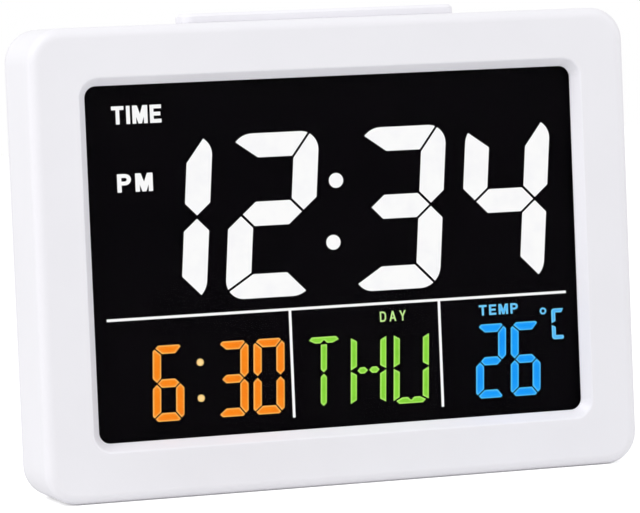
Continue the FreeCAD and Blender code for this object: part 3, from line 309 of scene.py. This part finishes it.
def nearness_to_edge(tree):
    """Number from 0 on open faces to 1 at a sharp edge, found within the rim's reach."""
    rounded = tree.nodes.new("ShaderNodeBevel")
    rounded.samples = RIM_SAMPLES
    rounded.inputs["Radius"].default_value = RIM_REACH
    flat = tree.nodes.new("ShaderNodeNewGeometry")
    match = tree.nodes.new("ShaderNodeVectorMath")
    match.operation = "DOT_PRODUCT"
    tree.links.new(rounded.outputs["Normal"], match.inputs[0])
    tree.links.new(flat.outputs["Normal"], match.inputs[1])
    turn = tree.nodes.new("ShaderNodeMapRange")
    turn.inputs["From Min"].default_value = 1.0
    turn.inputs["From Max"].default_value = RIM_FULL
    tree.links.new(match.outputs["Value"], turn.inputs["Value"])
    return turn.outputs["Result"]


def lit_segment(name, colour, patchy, painted_rim):
    """Lit display segment: faintly uneven light from behind, with a painted lighter rim along its edges."""
    material, tree, shader = new_material(name)
    shader.inputs["Base Color"].default_value = srgb(8, 8, 8)
    shader.inputs["Roughness"].default_value = SEGMENT_ROUGHNESS
    shader.inputs["Specular IOR Level"].default_value = SEGMENT_SPECULAR
    unevenness = noise(tree, PATCH_SCALE, detail=2.0)
    body = colour_ramp(tree, unevenness, srgb(*patchy), srgb(*colour), PATCH_START, PATCH_STOP)
    mix = tree.nodes.new("ShaderNodeMix")
    mix.data_type = "RGBA"
    tree.links.new(nearness_to_edge(tree), mix.inputs["Factor"])
    tree.links.new(body, mix.inputs["A"])
    # Lighter colour painted along the edges: a painted bright rim, not light from behind
    mix.inputs["B"].default_value = srgb(*painted_rim)
    tree.links.new(mix.outputs["Result"], shader.inputs["Emission Color"])
    shader.inputs["Emission Strength"].default_value = SEGMENT_GLOW
    return material


def display_black():
    """Black polarised face of the display: almost no colour and a weak, clean reflection."""
    material, tree, shader = new_material("display_black")
    tone = noise(tree, BLACK_SCALE, detail=2.0)
    tree.links.new(colour_ramp(tree, tone, srgb(3, 2, 4), srgb(6, 4, 7)), shader.inputs["Base Color"])
    polish = noise(tree, BLACK_ROUGHNESS_SCALE)
    tree.links.new(value_range(tree, polish, *BLACK_ROUGHNESS), shader.inputs["Roughness"])
    shader.inputs["Specular IOR Level"].default_value = BLACK_SPECULAR
    return material


def clear_pane():
    """Clear window pane: almost invisible, with a weak polish."""
    material, tree, shader = new_material("clear_pane")
    shader.inputs["Base Color"].default_value = srgb(6, 5, 8)
    polish = noise(tree, PANE_ROUGHNESS_SCALE)
    tree.links.new(value_range(tree, polish, *PANE_ROUGHNESS), shader.inputs["Roughness"])
    shader.inputs["Specular IOR Level"].default_value = PANE_SPECULAR
    shader.inputs["Alpha"].default_value = PANE_ALPHA
    return material


def metal(name, colour, roughness):
    """Plated metal with a fine grain."""
    material, tree, shader = new_material(name)
    bright = srgb(*colour)
    darker = tuple(METAL_DARKER * part for part in bright[:3]) + (1.0,)
    tone = noise(tree, METAL_TONE_SCALE)
    tree.links.new(colour_ramp(tree, tone, darker, bright), shader.inputs["Base Color"])
    wandering_roughness(tree, shader, noise(tree, METAL_GRAIN_SCALE), roughness, METAL_WANDER)
    shader.inputs["Metallic"].default_value = 1.0
    return material


def paint(material, names):
    """Gives CAD nodes a material."""
    for name in names:
        mesh = nodes[name].data
        mesh.materials.clear()
        mesh.materials.append(material)
        for face in mesh.polygons:
            face.material_index = 0


def dress_nodes():
    """Materials of the CAD nodes that aren't lit."""
    for name, (*finish, names) in OUTER_PLASTICS.items():
        paint(shell_plastic(name, *finish), names)
    # The slope round the window is painted paler than the case: painted light on a recess the lamps leave in
    # shade
    paint_window_slope_paler(shell_plastic("slope_painted_paler", *SLOPE_PLASTIC_PAINTED_PALER))
    for name, (*finish, names) in INNER_PLASTICS.items():
        paint(moulded_plastic(name, *finish)[0], names)
    for name, (*finish, names) in METALS.items():
        paint(metal(name, *finish), names)
    paint(display_black(), ["lcd_front_glass", "lcd_rear_glass"])
    paint(clear_pane(), ["display_window"])


def light_display():
    """Materials of the lit nodes, and the display's own pieces: captions, degree ring and unit."""
    lights = {}
    for name, (*tones, names) in LIGHTS.items():
        lights[name] = lit_segment(name, *tones)
        paint(lights[name], names)
    paint_alarm_dots(lights["lit_cream"])
    for name, light in CAPTION_LIGHTS.items():
        caption(name, lights[light])
    degree_ring("degree_ring", lights["lit_pale_blue"])
    unit_letter("unit_letter", lights["lit_pale_blue"])


def window_corner():
    """Upper left corner of the window, on the front plane of the segments."""
    low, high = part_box("display_window")
    segments_low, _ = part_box("time_segments")
    return Vector((low[0] + PANE_OVERLAP, segments_low[1], high[2] - PANE_OVERLAP))


def on_display(x, y, depth=0.0):
    """Point of the display from its place in millimetres, the given depth behind the front plane."""
    return window_corner() + Vector((x * MM, depth, -y * MM))


def segment_depth():
    """Thickness of the lit segments."""
    low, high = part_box("time_segments")
    return high[1] - low[1]


def paint_alarm_dots(material):
    """Gives the two dots of the alarm's colon their own, paler light."""
    mesh = nodes["alarm_segments"].data
    mesh.materials.append(material)
    for face in mesh.polygons:
        for x, y in ALARM_DOTS:
            offset = face.center - on_display(x, y)
            if math.hypot(offset.x, offset.z) < ALARM_DOT_REACH * MM:
                face.material_index = 1


def paint_window_slope_paler(material):
    """Gives the slope round the window its smoother finish and a paler colour, which is painted light on its
    shade.
    """
    mesh = nodes["front_case"].data
    mesh.materials.append(material)
    low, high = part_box("display_window")
    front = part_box("front_case")[0][1]
    reach = SLOPE_WIDTH - PANE_OVERLAP
    for face in mesh.polygons:
        x, y, z = face.center
        beside = low[0] - reach < x < high[0] + reach and low[2] - reach < z < high[2] + reach
        if beside and 0 < y - front < SLOPE_DEPTH and abs(face.normal.y) < SQUARE_TO_FRONT:
            face.material_index = 1


def show(name, mesh, material):
    """Adds a piece of the display, which rides on the case."""
    mesh.materials.clear()
    mesh.materials.append(material)
    piece = bpy.data.objects.new(name, mesh)
    bpy.context.scene.collection.objects.link(piece)
    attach(piece, "case")


# Plain capital letters of height 1, drawn with strokes of the width that pen gives.
# Each function returns the letter's width and its outlines.

def letter_i(pen):
    return pen, [[(0, 0), (0, 1), (pen, 1), (pen, 0)]]


def letter_t(pen):
    wide = 0.72
    left = (wide - pen) / 2
    right = (wide + pen) / 2
    under = 1 - pen
    return wide, [[(0, 1), (wide, 1), (wide, under), (right, under), (right, 0),
                   (left, 0), (left, under), (0, under)]]


def letter_e(pen):
    wide = 0.66
    arm = 0.92 * wide
    under = 1 - pen
    arm_low = (1 - pen) / 2
    arm_high = (1 + pen) / 2
    return wide, [[(0, 0), (0, 1), (wide, 1), (wide, under), (pen, under), (pen, arm_high),
                   (arm, arm_high), (arm, arm_low), (pen, arm_low), (pen, pen), (wide, pen), (wide, 0)]]


def letter_m(pen):
    wide = 0.88
    middle = wide / 2
    shoulder = 1.3 * pen
    tip = 0.45 * pen
    run = middle - tip
    notch = 1 - (middle - shoulder) / run
    crotch = 1 - pen / run
    return wide, [[(0, 0), (0, 1), (shoulder, 1), (middle, notch), (wide - shoulder, 1), (wide, 1),
                   (wide, 0), (wide - pen, 0), (wide - pen, crotch), (middle + tip, 0),
                   (middle - tip, 0), (pen, crotch), (pen, 0)]]


def letter_p(pen):
    wide = 0.7
    foot = 0.38
    radius = (1 - foot) / 2
    x, y = wide - radius, 1 - radius
    bowl = bent(x, y, radius, 90) + bent(x, y, radius, 0)
    hole = bent(x, y, radius - pen, 90) + bent(x, y, radius - pen, 0)
    return wide, [[(0, 0), (0, 1)] + bowl + [(pen, foot), (pen, 0)],
                  [(pen, 1 - pen)] + hole + [(pen, foot + pen)]]


def letter_d(pen):
    wide = 0.72
    radius = 0.36
    x = wide - radius
    outer = bent(x, 1 - radius, radius, 90) + bent(x, radius, radius, 0)
    inner = bent(x, 1 - radius, radius - pen, 90) + bent(x, radius, radius - pen, 0)
    return wide, [[(0, 0), (0, 1)] + outer, [(pen, 1 - pen)] + inner + [(pen, pen)]]


def letter_a(pen):
    wide = 0.8
    bar = 0.24
    lean = (wide - pen) / 2
    leg = 1.1 * pen
    low = leg + lean * bar
    high = leg + lean * (bar + pen)
    peak = (wide / 2 - leg) / lean
    return wide, [[(0, 0), (lean, 1), (wide - lean, 1), (wide, 0), (wide - leg, 0), (wide - low, bar),
                   (low, bar), (leg, 0)],
                  [(high, bar + pen), (wide / 2, peak), (wide - high, bar + pen)]]


def letter_y(pen):
    wide = 0.76
    fork = 0.42
    fork_top = fork + 0.18
    arm = 1.15 * pen
    left = (wide - pen) / 2
    right = (wide + pen) / 2
    return wide, [[(left, 0), (left, fork), (0, 1), (arm, 1), (wide / 2, fork_top), (wide - arm, 1),
                   (wide, 1), (right, fork), (right, 0)]]


def bent(x, y, radius, start):
    """Quarter of a circle that turns clockwise from the given angle in degrees."""
    angles = [math.radians(start - 90 * step / ARC_STEPS) for step in range(ARC_STEPS + 1)]
    return [(x + radius * math.cos(angle), y + radius * math.sin(angle)) for angle in angles]


LETTERS = {
    "I": letter_i,
    "T": letter_t,
    "E": letter_e,
    "M": letter_m,
    "P": letter_p,
    "D": letter_d,
    "A": letter_a,
    "Y": letter_y,
}


def outline_mesh(name, outlines):
    """Flat mesh of thickness 1, centred on z = 0, from closed outlines, with inner ones as holes."""
    curve = bpy.data.curves.new(name, "CURVE")
    curve.dimensions = "2D"
    curve.fill_mode = "BOTH"
    curve.extrude = 0.5
    for outline in outlines:
        spline = curve.splines.new("POLY")
        spline.points.add(len(outline) - 1)
        for point, (x, y) in zip(spline.points, outline):
            point.co = (x, y, 0, 1)
        spline.use_cyclic_u = True
    holder = bpy.data.objects.new(name + "_outline", curve)
    bpy.context.scene.collection.objects.link(holder)
    bpy.context.view_layer.update()
    mesh = bpy.data.meshes.new_from_object(holder.evaluated_get(bpy.context.evaluated_depsgraph_get()))
    bpy.data.objects.remove(holder)
    bpy.data.curves.remove(curve)
    mesh.name = name
    return mesh


def flat_piece(name, outlines, low, high, material):
    """Raised piece, as thick as the segments, from closed outlines fitted to a box on the display."""
    mesh = outline_mesh(name, outlines)
    xs = [vertex.co.x for vertex in mesh.vertices]
    ys = [vertex.co.y for vertex in mesh.vertices]
    left, right = min(xs), max(xs)
    foot, top = min(ys), max(ys)
    depth = segment_depth()
    for vertex in mesh.vertices:
        across = (vertex.co.x - left) / (right - left)
        down = (top - vertex.co.y) / (top - foot)
        x = low[0] + across * (high[0] - low[0])
        y = low[1] + down * (high[1] - low[1])
        vertex.co = on_display(x, y, depth * (0.5 - vertex.co.z))
    show(name, mesh, material)


def caption(name, material):
    """Words in plain capitals, fitted to their box on the display."""
    words, low, high, pen, space = CAPTIONS[name]
    outlines = []
    start = 0.0
    for sign in words:
        wide, loops = LETTERS[sign](pen)
        outlines += [[(start + x, y) for x, y in loop] for loop in loops]
        start += wide + space
    flat_piece(name, outlines, low, high, material)


def degree_ring(name, material):
    """Small ring above the temperature."""
    inner, outer = RING_RADII
    turns = [2 * math.pi * index / RING_SIDES for index in range(RING_SIDES)]
    circle = [(math.cos(turn), math.sin(turn)) for turn in turns]
    hole = [(x * inner / outer, y * inner / outer) for x, y in circle]
    x, y = RING_CENTRE
    flat_piece(name, [circle, hole], (x - outer, y - outer), (x + outer, y + outer), material)


def unit_letter(name, material):
    """The C of the temperature's unit, in two bent strokes."""
    wide, tall, pen = UNIT_WIDTH, UNIT_HEIGHT, UNIT_STROKE
    middle = tall / 2
    cut = pen / 2
    gap = pen / 4
    upper = [(0, middle + gap), (0, tall - cut), (cut, tall), (wide, tall), (wide - cut, tall - pen),
             (pen, tall - pen), (pen, middle + gap + cut)]
    lower = [(pen, middle - gap - cut), (pen, pen), (wide - gap, pen), (wide, cut), (wide - gap, 0),
             (cut, 0), (0, cut), (0, middle - gap)]
    x, y = UNIT_CORNER
    flat_piece(name, [upper, lower], UNIT_CORNER, (x + wide, y + tall), material)


def place_camera():
    """Camera at the photograph's viewpoint, looking as the photograph does."""
    yaw = math.radians(VIEW_YAW)
    pitch = math.radians(VIEW_PITCH)
    roll = math.radians(VIEW_ROLL)
    right = Vector((math.cos(yaw), -math.sin(yaw), 0))
    up = Vector((math.sin(yaw) * math.sin(pitch), math.cos(yaw) * math.sin(pitch), math.cos(pitch)))
    ahead = Vector((math.sin(yaw) * math.cos(pitch), math.cos(yaw) * math.cos(pitch), -math.sin(pitch)))
    target = Vector((0, cad_low.y, VIEW_HEIGHT))
    place = target - ahead * VIEW_DISTANCE - right * VIEW_SHIFT_RIGHT - up * VIEW_SHIFT_UP
    rolled_right = right * math.cos(roll) + up * math.sin(roll)
    rolled_up = up * math.cos(roll) - right * math.sin(roll)
    data = bpy.data.cameras.new("photo_view")
    data.sensor_width = SENSOR_WIDTH_MM
    data.sensor_fit = "HORIZONTAL"
    data.lens = FOCAL_PX / IMAGE_WIDTH_PX * SENSOR_WIDTH_MM
    data.clip_start = CLIP_START
    camera = bpy.data.objects.new("photo_view", data)
    turn = Matrix((rolled_right, rolled_up, -ahead)).transposed()
    camera.matrix_world = Matrix.Translation(place) @ turn.to_4x4()
    bpy.context.scene.collection.objects.link(camera)
    bpy.context.scene.camera = camera


def soft_lamp(name, place, side, power):
    """Soft square lamp that faces the clock."""
    data = bpy.data.lights.new(name, "AREA")
    data.shape = "RECTANGLE"
    data.size = side
    data.size_y = side
    data.energy = power
    lamp = bpy.data.objects.new(name, data)
    lamp.location = place
    lamp.rotation_euler = (Vector(LAMP_AIM) - Vector(place)).to_track_quat("-Z", "Y").to_euler()
    bpy.context.scene.collection.objects.link(lamp)


def larger(tree, first, second):
    """The larger of two numbers."""
    node = tree.nodes.new("ShaderNodeMath")
    node.operation = "MAXIMUM"
    tree.links.new(first, node.inputs[0])
    tree.links.new(second, node.inputs[1])
    return node.outputs[0]


def white_background(tree, strength):
    """White light of the given strength, from the world."""
    node = tree.nodes.new("ShaderNodeBackground")
    node.inputs["Color"].default_value = (1, 1, 1, 1)
    node.inputs["Strength"].default_value = strength
    return node.outputs[0]


def build_world():
    """Even surrounding light; the camera, reflections and clear parts see plain white."""
    world = bpy.data.worlds.new("studio")
    world.use_nodes = True
    tree = world.node_tree
    tree.nodes.clear()
    output = tree.nodes.new("ShaderNodeOutputWorld")
    path = tree.nodes.new("ShaderNodeLightPath").outputs
    seen = larger(tree, path["Is Camera Ray"], path["Is Glossy Ray"])
    seen = larger(tree, seen, path["Is Transmission Ray"])
    mix = tree.nodes.new("ShaderNodeMixShader")
    tree.links.new(seen, mix.inputs["Fac"])
    tree.links.new(white_background(tree, WORLD_STRENGTH), mix.inputs[1])
    tree.links.new(white_background(tree, BACKDROP_STRENGTH), mix.inputs[2])
    tree.links.new(mix.outputs[0], output.inputs["Surface"])
    bpy.context.scene.world = world


def floor_white():
    """Matt white of the floor, which glows a little for the camera only."""
    material = bpy.data.materials.new("floor_white")
    material.use_nodes = True
    tree = material.node_tree
    tree.nodes.clear()
    output = tree.nodes.new("ShaderNodeOutputMaterial")
    diffuse = tree.nodes.new("ShaderNodeBsdfDiffuse")
    diffuse.inputs["Color"].default_value = (FLOOR_SHADE, FLOOR_SHADE, FLOOR_SHADE, 1)
    glow = tree.nodes.new("ShaderNodeEmission")
    glow.inputs["Color"].default_value = (1, 1, 1, 1)
    glow.inputs["Strength"].default_value = FLOOR_GLOW
    both = tree.nodes.new("ShaderNodeAddShader")
    tree.links.new(diffuse.outputs[0], both.inputs[0])
    tree.links.new(glow.outputs[0], both.inputs[1])
    path = tree.nodes.new("ShaderNodeLightPath")
    mix = tree.nodes.new("ShaderNodeMixShader")
    tree.links.new(path.outputs["Is Camera Ray"], mix.inputs["Fac"])
    tree.links.new(diffuse.outputs[0], mix.inputs[1])
    tree.links.new(both.outputs[0], mix.inputs[2])
    tree.links.new(mix.outputs[0], output.inputs["Surface"])
    return material


def build_floor():
    """Plain white floor that keeps the clock's soft shadow."""
    corners = [(x * FLOOR_REACH, y * FLOOR_REACH, 0) for x, y in ((-1, -1), (1, -1), (1, 1), (-1, 1))]
    mesh = bpy.data.meshes.new("floor")
    mesh.from_pydata(corners, [], [(0, 1, 2, 3)])
    floor = bpy.data.objects.new("floor", mesh)
    bpy.context.scene.collection.objects.link(floor)
    mesh.materials.append(floor_white())


def build_studio():
    """World, floor and two soft lamps."""
    build_world()
    build_floor()
    for name, (place, side, power) in LAMPS.items():
        soft_lamp(name, place, side, power)


dress_nodes()
light_display()
place_camera()
build_studio()
bpy.context.scene.view_settings.view_transform = "Standard"
